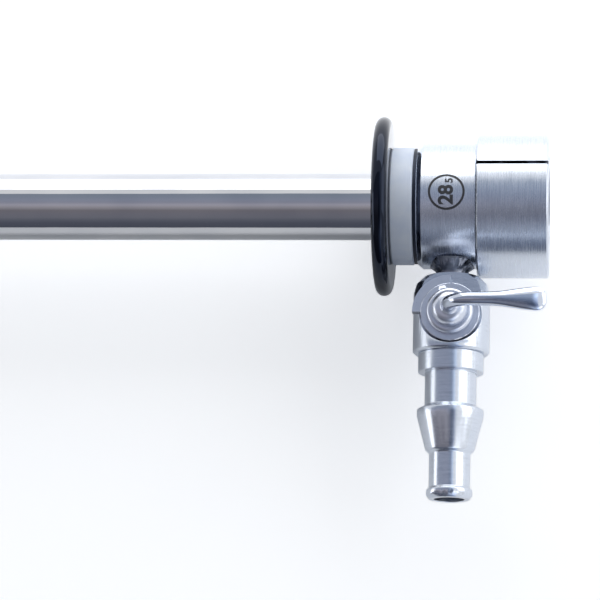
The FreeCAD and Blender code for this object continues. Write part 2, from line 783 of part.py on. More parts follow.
def make_hose_barb():
    """The hose end: spigot, flange, neck, one barb, thin tube and end bead."""
    outline = [
        ("0", "barb_bore"),
        ("0", "barb_spigot_radius"),
        ("barb_spigot_length", "barb_spigot_radius"),
    ]
    station = "barb_spigot_length"
    outline.append((station, "barb_flange_radius"))
    for length, radius in BARB_STEPS:
        station = f"{station} + {length}" if length else station
        outline.append((station, radius))
    outline.append((station, "barb_bore"))
    turned("hose_barb", outline, ("-port_place", "barb_spigot_length - body_bottom", "0"), "-Y")


def check_and_export():
    """Stop on a failed object or a bad shape, then write each piece to its file."""
    doc.recompute()
    failed = [item.Label for item in doc.Objects
              if "Invalid" in item.State or "Error" in item.State]
    if failed:
        raise ValueError(f"failed objects: {failed}")
    os.makedirs("parts", exist_ok=True)
    for label in NODES:
        shape = doc.getObjectsByLabel(label)[0].Shape
        if shape.isNull() or not shape.isValid() or not shape.Solids:
            raise ValueError(f"bad shape: {label}")
        shape.exportStep(f"parts/{label}.step")
        print(f"{label}: {len(shape.Solids)} solids, {shape.Volume:.2f} mm3")


# Straight runs in one turn of a button spring.
RUNS_PER_TURN = 12

# Turn of each section along the lever's bend, in degrees.
LEVER_ANGLES = [0, 18, 36, 54, 72, 90]

# Share of the paddle's length, half width and half thickness of each section.
PADDLE = [
    (0.0, "lever_rod_radius", "lever_rod_radius"),
    (0.22, "lever_rod_radius * 1.12", "lever_rod_radius * 0.98"),
    (0.42, "paddle_half_width * 0.86", "paddle_half_thickness * 1.16"),
    (0.66, "paddle_half_width * 0.98", "paddle_half_thickness * 1.04"),
    (0.90, "paddle_half_width * 0.98", "paddle_half_thickness * 0.94"),
    (0.97, "paddle_half_width * 0.84", "paddle_half_thickness * 0.72"),
    (1.0, "paddle_end_half_width", "paddle_end_half_thickness"),
]

# Length of each step of the hose end past its flange face, and the radius at its end.
BARB_STEPS = [
    ("barb_flange_length", "barb_flange_radius"),
    ("", "barb_neck_radius"),
    ("barb_neck_length", "barb_neck_radius"),
    ("barb_lead_in", "barb_radius"),
    ("barb_land", "barb_radius"),
    ("barb_cone_length", "barb_cone_end"),
    ("barb_tip_step", "barb_tip_radius"),
    ("barb_tip_length", "barb_tip_radius"),
    ("bead_rise", "bead_radius"),
    ("bead_length", "bead_radius"),
    ("bead_lead_out", "bead_end_radius"),
]

NODES = [
    "sheath_tube", "insulating_beak", "hub_sleeve", "guard_disc", "colour_ring",
    "seal_ring", "irrigation_collar", "lock_housing", "release_button",
    "latch_plate", "latch_screw", "stop_pins", "button_guide_pins", "button_springs",
    "locating_pin", "port_neck", "stopcock_body", "stopcock_plug", "stopcock_lever",
    "plug_washer", "plug_spring", "tension_nut", "hose_barb",
]

make_tube()
make_beak()
make_sleeve()
make_disc_and_rings()
make_collar()
blank = drum_blank()
make_housing(blank)
make_button(blank)
make_latch()
make_springs()
make_neck()
make_stopcock_body()
make_plug()
make_plug_fasteners()
make_lever()
make_hose_barb()
check_and_export()
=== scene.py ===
import bpy
import math
from mathutils import Matrix, Vector


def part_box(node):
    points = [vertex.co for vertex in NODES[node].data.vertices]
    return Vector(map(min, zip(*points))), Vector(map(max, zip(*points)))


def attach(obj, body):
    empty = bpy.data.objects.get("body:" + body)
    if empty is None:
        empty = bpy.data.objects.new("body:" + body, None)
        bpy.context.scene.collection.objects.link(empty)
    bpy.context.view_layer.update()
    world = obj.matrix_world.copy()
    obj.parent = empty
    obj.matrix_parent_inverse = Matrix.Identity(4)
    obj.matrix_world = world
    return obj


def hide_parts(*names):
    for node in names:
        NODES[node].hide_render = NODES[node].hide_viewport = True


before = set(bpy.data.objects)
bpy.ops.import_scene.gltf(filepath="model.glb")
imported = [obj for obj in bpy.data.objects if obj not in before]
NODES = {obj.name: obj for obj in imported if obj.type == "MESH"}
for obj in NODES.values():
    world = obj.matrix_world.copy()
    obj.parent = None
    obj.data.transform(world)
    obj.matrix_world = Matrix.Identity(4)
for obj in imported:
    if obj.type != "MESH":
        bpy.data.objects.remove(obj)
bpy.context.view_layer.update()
MM = 0.001

# Places in metres: the axis of the port, the axis of the stopcock's plug, which crosses it, and
# the middle of the gauge mark on the collar.
PORT_X = -0.0134
PLUG_Y = -0.01625
MARK_X = -0.01395
MARK_Y = -0.00018

# Noise lies mostly between these two values, so patterns are stretched from one to the other.
PATTERN_LOW = 0.3
PATTERN_HIGH = 0.7

# The white of the room behind the object, and the cool cast of what black pieces mirror.
ROOM_WHITE = "#fbfcfe"
COOL_GLOSS = "#b4c8f4"

# Faces that meet at less than this many degrees are shaded as one curve.
CURVE_ANGLE = 38.0


def colour(code):
    """A linear colour from an sRGB hex code such as #c8cacc."""
    parts = [int(code[i:i + 2], 16) / 255 for i in (1, 3, 5)]
    return [p / 12.92 if p <= 0.04045 else ((p + 0.055) / 1.055) ** 2.4 for p in parts] + [1.0]


def add(tree, kind, settings=(), links=()):
    """Add one node: settings are property or socket values, links are (socket, other output)."""
    item = tree.nodes.new(kind)
    for name, value in dict(settings).items():
        if isinstance(name, str) and hasattr(item, name):
            setattr(item, name, value)
        else:
            item.inputs[name].default_value = value
    for name, output in dict(links).items():
        tree.links.new(output, item.inputs[name])
    return item


def shades(tree, value, stops):
    """A colour that runs through (position, sRGB code) stops, led by a value from 0 to 1."""
    ramp = add(tree, "ShaderNodeValToRGB", links={"Fac": value})
    while len(ramp.color_ramp.elements) < len(stops):
        ramp.color_ramp.elements.new(0.5)
    for element, (position, code) in zip(ramp.color_ramp.elements, stops):
        element.position = position
        element.color = colour(code)
    return ramp.outputs["Color"]


def largest(tree, value, *others):
    """The largest of several values."""
    for other in others:
        value = add(tree, "ShaderNodeMath", {"operation": "MAXIMUM"},
                    {0: value, 1: other}).outputs[0]
    return value


def empty_material(name):
    """A new material and its node tree, with nothing in it."""
    material = bpy.data.materials.new(name)
    material.use_nodes = True
    material.node_tree.nodes.clear()
    return material, material.node_tree


def finish_of(name, surface):
    """A material whose surface function fills its tree and returns the settings of the shader."""
    material, tree = empty_material(name)
    place = add(tree, "ShaderNodeTexCoord").outputs["Object"]
    settings, links = surface(tree, place)
    shader = add(tree, "ShaderNodeBsdfPrincipled", settings, links)
    add(tree, "ShaderNodeOutputMaterial", links={"Surface": shader.outputs[0]})
    return material


def grain(tree, place, pitch, detail=3.0, rough=0.55):
    """Noise whose features are as far apart as the given pitches in millimetres, per axis."""
    scaled = add(tree, "ShaderNodeMapping", {"Scale": [1 / (p * MM) for p in pitch]},
                 {"Vector": place})
    return add(tree, "ShaderNodeTexNoise",
               {"Scale": 1.0, "Detail": detail, "Roughness": rough},
               {"Vector": scaled.outputs[0]}).outputs["Fac"]


def span(tree, value, low, high):
    """Stretch a 0 to 1 pattern between two values."""
    return add(tree, "ShaderNodeMapRange",
               {"From Min": PATTERN_LOW, "From Max": PATTERN_HIGH,
                "To Min": low, "To Max": high},
               {"Value": value}).outputs[0]


def tint(tree, value, low, high):
    """A colour between two sRGB codes, led by a pattern."""
    return shades(tree, value, [(PATTERN_LOW, low), (PATTERN_HIGH, high)])


def relief(tree, value, height):
    """A bump of a height in millimetres."""
    return add(tree, "ShaderNodeBump", {"Strength": 1.0, "Distance": height * MM},
               {"Height": value}).outputs["Normal"]


def plus(tree, base, extra, share):
    """A pattern with a share of another one on top."""
    return add(tree, "ShaderNodeMath", {"operation": "MULTIPLY_ADD", 1: share},
               {0: extra, 2: base}).outputs[0]


def polished_tube(tree, place):
    # Drawn stainless tube, polished along its length: mirror bright, with faint long hairlines.
    hairline = grain(tree, place, (14.0, 0.16, 0.16))
    cloud = grain(tree, place, (9.0, 5.0, 5.0), 2.0)
    return ({"Metallic": 1.0},
            {"Base Color": tint(tree, cloud, "#c3c5ca", "#cfd0d3"),
             "Roughness": span(tree, hairline, 0.03, 0.065),
             "Normal": relief(tree, hairline, 0.0012)})


def polished_fitting(tree, place):
    # Stainless steel fittings, turned and then buffed: bright, with short crossing scratches.
    scratch = grain(tree, place, (0.9, 0.22, 0.9))
    cloud = grain(tree, place, (4.0, 4.0, 4.0), 2.0)
    return ({"Metallic": 1.0},
            {"Base Color": tint(tree, cloud, "#c2c9d7", "#d0d7e4"),
             "Roughness": span(tree, scratch, 0.09, 0.17),
             "Normal": relief(tree, scratch, 0.0015)})


def satin(pitch, least, most):
    """Satin steel, blasted fine and brushed on the lathe, with its rings along one axis.

    It is between least and most rough, and a little duller where hands have touched it.
    """
    def surface(tree, place):
        ring = grain(tree, place, pitch, 4.0, 0.6)
        speck = grain(tree, place, (0.12, 0.12, 0.12), 2.0)
        handled = grain(tree, place, (2.6, 2.6, 2.6), 5.0, 0.65)
        return ({"Metallic": 1.0},
                {"Base Color": tint(tree, plus(tree, ring, handled, 0.3), "#b9c0cb", "#d1d7e1"),
                 "Roughness": plus(tree, span(tree, ring, least, most), handled, 0.07),
                 "Normal": relief(tree, plus(tree, ring, speck, 0.35), 0.003)})
    return surface


def blasted(tree, place):
    # Steel fittings blasted with fine glass beads: soft and bright, with an even small grain.
    bead = grain(tree, place, (0.09, 0.09, 0.09), 3.0)
    cloud = grain(tree, place, (3.0, 3.0, 3.0), 2.0)
    return ({"Metallic": 1.0},
            {"Base Color": tint(tree, cloud, "#c8cedb", "#d3d8e3"),
             "Roughness": span(tree, bead, 0.27, 0.36),
             "Normal": relief(tree, bead, 0.003)})


def guard_black(tree, place):
    # Moulded and polished black polymer: deep gloss, with a very faint ripple from the mould.
    ripple = grain(tree, place, (3.0, 2.2, 2.2), 2.0)
    dust = grain(tree, place, (0.35, 0.35, 0.35), 4.0)
    return ({"IOR": 1.5, "Specular IOR Level": 0.42, "Specular Tint": colour(COOL_GLOSS)},
            {"Base Color": tint(tree, ripple, "#040406", "#08080b"),
             "Roughness": span(tree, dust, 0.03, 0.07),
             "Normal": relief(tree, ripple, 0.0008)})


def ring_white(tree, place):
    # Turned white fluoropolymer: matt and a little bluish, with soft turning marks.
    mark = grain(tree, place, (0.11, 6.0, 6.0), 3.0)
    cloud = grain(tree, place, (2.5, 2.5, 2.5), 2.0)
    return ({"IOR": 1.4, "Subsurface Weight": 0.08, "Subsurface Radius": (0.0010, 0.0011, 0.0012),
             "Subsurface Scale": 0.5},
            {"Base Color": tint(tree, cloud, "#dbe6f9", "#e6effd"),
             "Roughness": span(tree, mark, 0.46, 0.6),
             "Normal": relief(tree, mark, 0.003)})


def rubber(tree, place):
    # Moulded rubber: dull black with a soft bloom.
    bloom = grain(tree, place, (0.5, 0.5, 0.5), 4.0)
    return ({"IOR": 1.45, "Specular Tint": colour(COOL_GLOSS)},
            {"Base Color": tint(tree, bloom, "#101319", "#1a1e26"),
             "Roughness": span(tree, bloom, 0.4, 0.55),
             "Normal": relief(tree, bloom, 0.004)})


def ceramic(tree, place):
    # Fired and ground insulating ceramic: ivory, smooth, with tiny pores.
    pore = grain(tree, place, (0.25, 0.25, 0.25), 5.0, 0.7)
    cloud = grain(tree, place, (5.0, 3.0, 3.0), 2.0)
    return ({"IOR": 1.7, "Subsurface Weight": 0.05,
             "Subsurface Radius": (0.0012, 0.0010, 0.0008), "Subsurface Scale": 0.5},
            {"Base Color": tint(tree, cloud, "#e3dccb", "#ece7db"),
             "Roughness": span(tree, pore, 0.22, 0.34),
             "Normal": relief(tree, pore, 0.0025)})


def spring_wire(tree, place):
    # Drawn spring wire and small pins: grey bright steel with lines from the die.
    line = grain(tree, place, (0.3, 0.05, 0.3))
    return ({"Metallic": 1.0},
            {"Base Color": tint(tree, line, "#a9abae", "#bdbec0"),
             "Roughness": span(tree, line, 0.2, 0.3),
             "Normal": relief(tree, line, 0.001)})


def shade_painted_steel(tree, place):
    # Steel as milled and never polished, with a mottled grain. Its dark colour is painted shade:
    # in the slit, on the stopcock's recess wall, on the ends of the plug's wing and on the port's
    # neck.
    mottle = grain(tree, place, (0.4, 0.4, 0.4), 4.0)
    return ({"Metallic": 1.0},
            {"Base Color": tint(tree, mottle, "#7b808c", "#8d929e"),
             "Roughness": span(tree, mottle, 0.3, 0.4),
             "Normal": relief(tree, mottle, 0.001)})


def laser_mark(tree, place):
    # Laser-annealed steel: a dark grey oxide skin, a little uneven.
    blotch = grain(tree, place, (0.2, 0.2, 0.2), 4.0)
    return ({"Metallic": 0.4},
            {"Base Color": tint(tree, blotch, "#303134", "#45464a"),
             "Roughness": span(tree, blotch, 0.4, 0.55),
             "Normal": relief(tree, blotch, 0.002)})


# Each finish, and the nodes that have it.
FINISHES = {
    "polished_tube_steel": (polished_tube, ["sheath_tube"]),
    "buffed_steel": (polished_fitting, [
        "stopcock_lever", "hub_sleeve", "plug_washer", "tension_nut"]),
    "bead_blasted_steel": (blasted, ["stopcock_plug"]),
    # The port's neck takes the darker milled steel, whose dark colour is painted shade.
    "milled_steel_painted_shade": (shade_painted_steel, ["port_neck"]),
    "satin_steel_turned_on_x": (satin((0.07, 3.0, 3.0), 0.18, 0.26), [
        "irrigation_collar", "lock_housing", "release_button", "latch_plate"]),
    "satin_steel_turned_on_y": (satin((3.0, 0.07, 3.0), 0.15, 0.23), [
        "hose_barb", "stopcock_body"]),
    "drawn_spring_steel": (spring_wire, [
        "button_springs", "plug_spring", "stop_pins", "button_guide_pins", "locating_pin",
        "latch_screw"]),
    "polished_black_polymer": (guard_black, ["guard_disc"]),
    "turned_white_fluoropolymer": (ring_white, ["colour_ring"]),
    "black_rubber": (rubber, ["seal_ring"]),
    "fired_ceramic": (ceramic, ["insulating_beak"]),
}


def dress_nodes():
    """Give every solid its finish."""
    for name, (surface, members) in FINISHES.items():
        material = finish_of(name, surface)
        for member in members:
            mesh = NODES[member].data
            mesh.materials.clear()
            mesh.materials.append(material)


def select_only(item):
    """Deselect all, then make one object selected and active."""
    bpy.ops.object.select_all(action="DESELECT")
    item.select_set(True)
    bpy.context.view_layer.objects.active = item


# The stopcock body's shoulder: where it lies along Y and from which radius on, and how wide its
# round edges are eased, in mm.
SHOULDER_START, SHOULDER_END = -12.9, -9.9
SHOULDER_FOOT, SHOULDER_RADIUS = 2.4, 0.5


def shoulder(first, last):
    """True for an edge that runs round the port's axis on the stopcock body's shoulder."""
    around = [math.hypot(end.x - PORT_X, end.z) for end in (first, last)]
    return (SHOULDER_START * MM < first.y < SHOULDER_END * MM and around[0] > SHOULDER_FOOT * MM
            and abs(first.y - last.y) < 0.001 * MM and abs(around[0] - around[1]) < 0.02 * MM)


def machined(node, body, slot, edge, eased=None):
    """A finer copy of a solid: its edges broken by a small width in mm and its curves smooth.

    Edges that a test of their two ends picks are eased with a larger radius first.
    """
    source = NODES[node]
    smooth = math.radians(CURVE_ANGLE)
    bpy.ops.object.select_all(action="DESELECT")
    item = source.copy()
    item.data = source.data.copy()
    item.name = node + "_finished"
    # The copy carries none of the marks that make its source a solid.
    for key in list(item.keys()):
        del item[key]
    bpy.context.scene.collection.objects.link(item)
    item.parent = None
    select_only(item)
    bpy.ops.object.mode_set(mode="EDIT")
    bpy.ops.mesh.select_all(action="SELECT")
    bpy.ops.mesh.remove_doubles(threshold=0.001 * MM)
    bpy.ops.mesh.dissolve_limited(angle_limit=math.radians(0.6))
    bpy.ops.object.mode_set(mode="OBJECT")
    if eased:
        weights = item.data.attributes.new("bevel_weight_edge", "FLOAT", "EDGE")
        for line in item.data.edges:
            if eased(*(item.data.vertices[end].co for end in line.vertices)):
                weights.data[line.index].value = 1.0
        bevel = item.modifiers.new("eased_shoulder", "BEVEL")
        bevel.limit_method = "WEIGHT"
        bevel.width = SHOULDER_RADIUS * MM
        bevel.segments = 3
        bpy.ops.object.modifier_apply(modifier=bevel.name)
    if edge:
        bevel = item.modifiers.new("broken_edges", "BEVEL")
        bevel.width = edge * MM
        bevel.segments = 2
        bevel.limit_method = "ANGLE"
        bevel.angle_limit = smooth
        bpy.ops.object.modifier_apply(modifier=bevel.name)
    bpy.ops.object.shade_smooth_by_angle(angle=smooth)
    weigh = item.modifiers.new("even_shading", "WEIGHTED_NORMAL")
    weigh.keep_sharp = True
    weigh.weight = 80
    bpy.ops.object.modifier_apply(modifier=weigh.name)
    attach(item, body)
    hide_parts(node)
    return item


def quarter_round(height, radius, amount, way, steps=8):
    """Points of a rounded edge that ends at a height and starts at a radius, both in mm.

    way is 1 where the edge rounds upwards to its height and -1 where it rounds downwards.
    """
    return [(height - way * amount * (1 - math.sin(math.radians(90 * k / steps))),
             radius - amount * (1 - math.cos(math.radians(90 * k / steps))))
            for k in range(steps + 1)]


def lathed(name, outline, at, axis="Z", hollow=False):
    """A turned piece: a circle drawn along its axis through (height, radius) pairs in mm."""
    way, turn = {"X": (Vector((1, 0, 0)), (0.0, math.pi / 2, 0.0)),
                 "Z": (Vector((0, 0, 1)), (0.0, 0.0, 0.0))}[axis]
    at = Vector(at)
    height, radius = outline[0]
    bpy.ops.object.select_all(action="DESELECT")
    bpy.ops.mesh.primitive_circle_add(
        vertices=144, radius=radius * MM, fill_type="NOTHING" if hollow else "NGON",
        location=at + way * height * MM, rotation=turn)
    item = bpy.context.object
    item.name = name
    bpy.ops.object.transform_apply(location=True, rotation=True, scale=True)
    bpy.ops.object.mode_set(mode="EDIT")
    bpy.ops.mesh.select_all(action="SELECT")
    for next_height, next_radius in outline[1:]:
        bpy.ops.mesh.extrude_region_move(
            TRANSFORM_OT_translate={"value": way * (next_height - height) * MM})
        share = next_radius / radius
        bpy.ops.transform.resize(value=(share, share, share),
                                 center_override=at + way * next_height * MM)
        height, radius = next_height, next_radius
    bpy.ops.mesh.select_all(action="SELECT")
    bpy.ops.mesh.remove_doubles(threshold=0.0001 * MM)
    bpy.ops.mesh.normals_make_consistent(inside=False)
    bpy.ops.object.mode_set(mode="OBJECT")
    bpy.ops.object.shade_smooth_by_angle(angle=math.radians(30.0))
    return item


def guard_disc():
    """The disc with its full round rim, turned finer than the solid.

    It reaches 0.2 mm past the solid's far face, where a recess takes the sleeve's flange.
    """
    far, step, near = -0.2, 0.8, 2.0
    bore, recess, radius, rim = 6.02, 7.22, 12.58, 1.06
    outline = [(far, recess), (step, recess), (step, bore), (near, bore)]
    outline += quarter_round(near, radius, rim, 1, steps=12)[::-1]
    outline += quarter_round(far, radius, rim, -1, steps=12)
    outline += [(far, recess)]
    item = lathed("guard_disc_finished", outline, (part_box("guard_disc")[0].x, 0.0, 0.0),
                  "X", hollow=True)
    item.data.materials.append(bpy.data.materials["polished_black_polymer"])
    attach(item, "sheath")
    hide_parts("guard_disc")


def plug_hub(plug):
    """The plug's stepped hub and dome, turned finer than the solid and joined to its copy."""
    select_only(plug)
    bpy.ops.object.mode_set(mode="EDIT")
    bpy.ops.mesh.select_all(action="DESELECT")
    bpy.ops.object.mode_set(mode="OBJECT")
    above_flange, hub_radius = 5.47 * MM, 3.3 * MM
    for face in plug.data.polygons:
        out = math.hypot(face.center.x - PORT_X, face.center.y - PLUG_Y)
        face.select = face.center.z > above_flange and out < hub_radius
    bpy.ops.object.mode_set(mode="EDIT")
    bpy.ops.mesh.delete(type="FACE")
    bpy.ops.object.mode_set(mode="OBJECT")
    outline = [(5.38, 3.23), *quarter_round(6.6, 3.22, 0.6, 1), (6.6, 2.6), (6.6, 2.43)]
    outline += quarter_round(8.75, 2.42, 1.2, 1)
    outline += [(8.8, 1.14), (8.92, 1.04), (9.12, 0.97), (9.4, 0.945)]
    hub = lathed("plug_hub", outline, (PORT_X, PLUG_Y, 0.0))
    hub.data.materials.append(bpy.data.materials["bead_blasted_steel"])
    bpy.ops.object.select_all(action="DESELECT")
    hub.select_set(True)
    plug.select_set(True)
    bpy.context.view_layer.objects.active = plug
    bpy.ops.object.join()


# The lever's flattened end: the place along the lever from the plug's axis and half the width,
# both read from the photograph at the working scale, and half the thickness, estimated, in mm.
PADDLE = [
    (5.6, 0.94, 0.93), (6.8, 1.02, 0.91), (8.0, 1.17, 0.87), (9.2, 1.36, 0.83), (10.2, 1.5, 0.8),
    (10.9, 1.58, 0.78), (11.4, 1.63, 0.75), (11.8, 1.66, 0.7), (12.2, 1.64, 0.63),
    (12.55, 1.56, 0.55), (12.82, 1.41, 0.46), (13.03, 1.2, 0.37), (13.18, 0.95, 0.28),
    (13.28, 0.68, 0.19), (13.34, 0.38, 0.1)]


def stopcock_lever():
    """The bent rod and its flattened end, drawn out ring by ring."""
    foot, bend, top, rod = 8.6, 3.2, 13.2, 0.93
    bpy.ops.object.select_all(action="DESELECT")
    bpy.ops.mesh.primitive_circle_add(vertices=64, radius=rod * MM, fill_type="NGON",
                                      location=(PORT_X, PLUG_Y, foot * MM))
    item = bpy.context.object
    item.name = "stopcock_lever_finished"
    bpy.ops.object.transform_apply(location=True, rotation=True, scale=True)
    bpy.ops.object.mode_set(mode="EDIT")
    bpy.ops.mesh.select_all(action="SELECT")
    height = top - bend
    bpy.ops.mesh.extrude_region_move(
        TRANSFORM_OT_translate={"value": (0.0, 0.0, (height - foot) * MM)})
    turns = 18
    pivot = Vector((PORT_X + bend * MM, PLUG_Y, height * MM))
    for _ in range(turns):
        bpy.ops.mesh.extrude_region_move()
        bpy.ops.transform.rotate(value=math.radians(-90.0 / turns), orient_axis="Y",
                                 center_override=pivot)
    along, wide, thick = bend, rod, rod
    for next_along, next_wide, next_thick in PADDLE:
        bpy.ops.mesh.extrude_region_move(
            TRANSFORM_OT_translate={"value": ((next_along - along) * MM, 0.0, 0.0)})
        bpy.ops.transform.resize(
            value=(1.0, next_wide / wide, next_thick / thick),
            center_override=(PORT_X + next_along * MM, PLUG_Y, top * MM))
        along, wide, thick = next_along, next_wide, next_thick
    bpy.ops.object.mode_set(mode="OBJECT")
    bpy.ops.object.shade_smooth_by_angle(angle=math.radians(50.0))
    smooth = item.modifiers.new("finer_curves", "SUBSURF")
    smooth.levels = smooth.render_levels = 1
    bpy.ops.object.modifier_apply(modifier=smooth.name)
    item.data.materials.append(bpy.data.materials["buffed_steel"])
    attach(item, "stopcock_key")
    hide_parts("stopcock_lever")


def finish_faces(item, material, chosen):
    """Give another finish to the faces that a test of their centre and normal picks."""
    item.data.materials.append(material)
    for face in item.data.polygons:
        if chosen(face.center, face.normal):
            face.material_index = len(item.data.materials) - 1


def size_mark():
    """The gauge number in its ring, marked by laser on the collar.

    Each piece is drawn above the collar and then laid on its curve, a hair's breadth proud.
    """
    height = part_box("irrigation_collar")[1].z + 0.5 * MM
    stroke, ring_radius, ring_share, proud = 0.034, 2.53, 0.875, 0.015
    pieces = []
    for name, words, size, place in (
            ("gauge_number", "28", 2.75, (0.82, -1.82)),
            ("gauge_fraction", "5", 1.45, (0.82, 1.22))):
        bpy.ops.object.select_all(action="DESELECT")
        bpy.ops.object.text_add()
        item = bpy.context.object
        item.name = name
        item.data.body = words
        item.data.size = size * MM
        item.data.offset = stroke * size * MM
        item.location = (MARK_X + place[0] * MM, MARK_Y + place[1] * MM, height)
        item.rotation_euler = (0.0, 0.0, math.pi / 2)
        bpy.ops.object.convert(target="MESH")
        bpy.ops.object.transform_apply(location=True, rotation=True, scale=True)
        pieces.append(item)
    bpy.ops.object.select_all(action="DESELECT")
    bpy.ops.mesh.primitive_circle_add(vertices=128, radius=ring_radius * MM,
                                      fill_type="NOTHING", location=(MARK_X, MARK_Y, height))
    band = bpy.context.object
    band.name = "gauge_ring"
    bpy.ops.object.transform_apply(location=True, rotation=True, scale=True)
    bpy.ops.object.mode_set(mode="EDIT")
    bpy.ops.mesh.select_all(action="SELECT")
    bpy.ops.mesh.extrude_region_move()
    bpy.ops.transform.resize(value=(ring_share, ring_share, 1.0),
                             center_override=(MARK_X, MARK_Y, height))
    bpy.ops.object.mode_set(mode="OBJECT")
    pieces.append(band)
    ink = finish_of("laser_mark", laser_mark)
    for item in pieces:
        select_only(item)
        bpy.ops.object.mode_set(mode="EDIT")
        bpy.ops.mesh.select_all(action="SELECT")
        bpy.ops.mesh.quads_convert_to_tris()
        bpy.ops.mesh.subdivide(number_cuts=3)
        bpy.ops.object.mode_set(mode="OBJECT")
        wrap = item.modifiers.new("wrap_on_collar", "SHRINKWRAP")
        wrap.target = NODES["irrigation_collar"]
        wrap.wrap_method = "PROJECT"
        wrap.use_project_z = True
        wrap.use_negative_direction = True
        wrap.use_positive_direction = False
        wrap.offset = proud * MM
        bpy.ops.object.modifier_apply(modifier=wrap.name)
        item.data.materials.clear()
        item.data.materials.append(ink)
        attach(item, "sheath")


def stand_in_photo_view():
    """The camera at the photograph's place, angle and lens."""
    picture_pixels, focal_pixels, sensor = 600.0, 2800.0, 36.0
    place = (0.005280, -0.100268, 0.379775)
    yaw, pitch, roll = math.radians(6.0), math.radians(12.8), math.radians(1.519)
    back = Vector((math.sin(yaw) * math.cos(pitch), -math.sin(pitch),
                   math.cos(yaw) * math.cos(pitch)))
    right = Vector((math.cos(yaw), 0.0, -math.sin(yaw)))
    up = back.cross(right)
    turned_right = math.cos(roll) * right + math.sin(roll) * up
    turned_up = -math.sin(roll) * right + math.cos(roll) * up
    lens = bpy.data.cameras.new("photo_camera")
    lens.sensor_width = sensor
    lens.lens = sensor * focal_pixels / picture_pixels
    lens.clip_start = 0.01
    camera = bpy.data.objects.new("photo_camera", lens)
    bpy.context.scene.collection.objects.link(camera)
    turn = Matrix((turned_right, turned_up, back)).transposed().to_4x4()
    camera.matrix_world = Matrix.Translation(place) @ turn
    bpy.context.scene.camera = camera


def soft_box(name, place, width, height, radiance):
    """A large soft white lamp that faces the head; radiance 1 looks white in a mirror."""
    head = Vector((-0.02, -0.005, 0))
    lamp = bpy.data.lights.new(name, "AREA")
    lamp.shape = "RECTANGLE"
    lamp.size, lamp.size_y = width, height
    lamp.energy = radiance * math.pi * width * height
    item = bpy.data.objects.new(name, lamp)
    bpy.context.scene.collection.objects.link(item)
    item.location = place
    item.rotation_euler = (head - Vector(place)).to_track_quat("-Z", "Y").to_euler()


# The arched card: its radius, its ends along X in metres, and its ends in degrees from straight
# up, towards +Y. Its low end reaches just below the floor. Along X it fades from the shades over
# the tube to those over the head, and later to a paler glow.
CARD_RADIUS = 0.48
CARD_LEFT, CARD_RIGHT = -1.5, 0.17
CARD_START, CARD_END = 30.0, -91.8
HEAD_BEGINS, HEAD_FULL = -0.035, -0.005
PALER_BEGINS, PALER_GLOW = 0.07, 3.6

# What the card shows in the steel, as degrees and shades: over the tube, and over the head, where
# the room is darkest a little before the camera.
CARD_OVER_TUBE = [
    (30, "#949dab"), (20, "#949dad"), (8, "#9ca2b4"), (0, "#9fa1b1"), (-9, "#b6b4c0"),
    (-17, "#a9a5ac"), (-28, "#827f86"), (-40, "#7f7e88"), (-52, "#7b7c86"), (-63, "#686b77"),
    (-73, "#5c5f6c"), (-90, "#565a66")]
CARD_OVER_HEAD = [
    (30, "#a8b4c6"), (17, "#a6b2c5"), (8, "#8c98ac"), (0, "#758197"), (-8, "#626d82"),
    (-17, "#525c70"), (-25, "#515a6d"), (-34, "#6e768a"), (-42, "#939bae"), (-51, "#bac6d8"),
    (-59, "#b8c4d8"), (-68, "#9fadc4"), (-77, "#66748e"), (-90, "#505c75")]


def arched_card():
    """A curved studio card over the object, which only mirrors see: it lights nothing.

    Its shades run from the lamp behind the object, over the camera, down to the floor in front.
    Towards its right end it grows lighter, so it has no hard edge in the lever's end.
    """
    bpy.ops.object.select_all(action="DESELECT")
    bpy.ops.mesh.primitive_circle_add(vertices=3, radius=0.1)
    item = bpy.context.object
    item.name = "arched_card"
    bpy.ops.object.mode_set(mode="EDIT")
    bpy.ops.mesh.select_all(action="SELECT")
    bpy.ops.mesh.merge(type="CENTER")
    start = math.radians(CARD_START)
    bpy.ops.transform.translate(
        value=(CARD_LEFT, CARD_RADIUS * math.sin(start), CARD_RADIUS * math.cos(start)))
    bpy.ops.mesh.extrude_region_move(
        TRANSFORM_OT_translate={"value": (CARD_RIGHT - CARD_LEFT, 0.0, 0.0)})
    bpy.ops.mesh.select_all(action="SELECT")
    bpy.ops.mesh.spin(steps=64, angle=math.radians(CARD_END - CARD_START),
                      center=(0.0, 0.0, 0.0), axis=(1.0, 0.0, 0.0))
    bpy.ops.object.mode_set(mode="OBJECT")
    material, tree = empty_material("arched_card")
    axes = add(tree, "ShaderNodeSeparateXYZ", links={
        0: add(tree, "ShaderNodeTexCoord").outputs["Object"]})
    angle = add(tree, "ShaderNodeMath", {"operation": "ARCTAN2"},
                {0: axes.outputs["Y"], 1: axes.outputs["Z"]})
    first, last = CARD_OVER_HEAD[0][0], CARD_OVER_HEAD[-1][0]
    share = add(tree, "ShaderNodeMapRange", {
        "From Min": math.radians(first), "From Max": math.radians(last)}, {0: angle.outputs[0]})
    paler = add(tree, "ShaderNodeMapRange", {
        "From Min": PALER_BEGINS, "From Max": CARD_RIGHT, "To Min": 1.0, "To Max": PALER_GLOW},
        {0: axes.outputs["X"]})
    glows = []
    for card in (CARD_OVER_TUBE, CARD_OVER_HEAD):
        stops = [((first - degrees) / (first - last), code) for degrees, code in card]
        glows.append(add(tree, "ShaderNodeEmission", links={
            "Color": shades(tree, share.outputs[0], stops), "Strength": paler.outputs[0]}))
    towards_head = add(tree, "ShaderNodeMapRange", {
        "From Min": HEAD_BEGINS, "From Max": HEAD_FULL}, {0: axes.outputs["X"]})
    mixed = add(tree, "ShaderNodeMixShader", links={
        0: towards_head.outputs[0], 1: glows[0].outputs[0], 2: glows[1].outputs[0]})
    add(tree, "ShaderNodeOutputMaterial", links={"Surface": mixed.outputs[0]})
    item.data.materials.append(material)
    item.visible_camera = False
    item.visible_diffuse = False
    item.visible_shadow = False
    item.visible_transmission = False


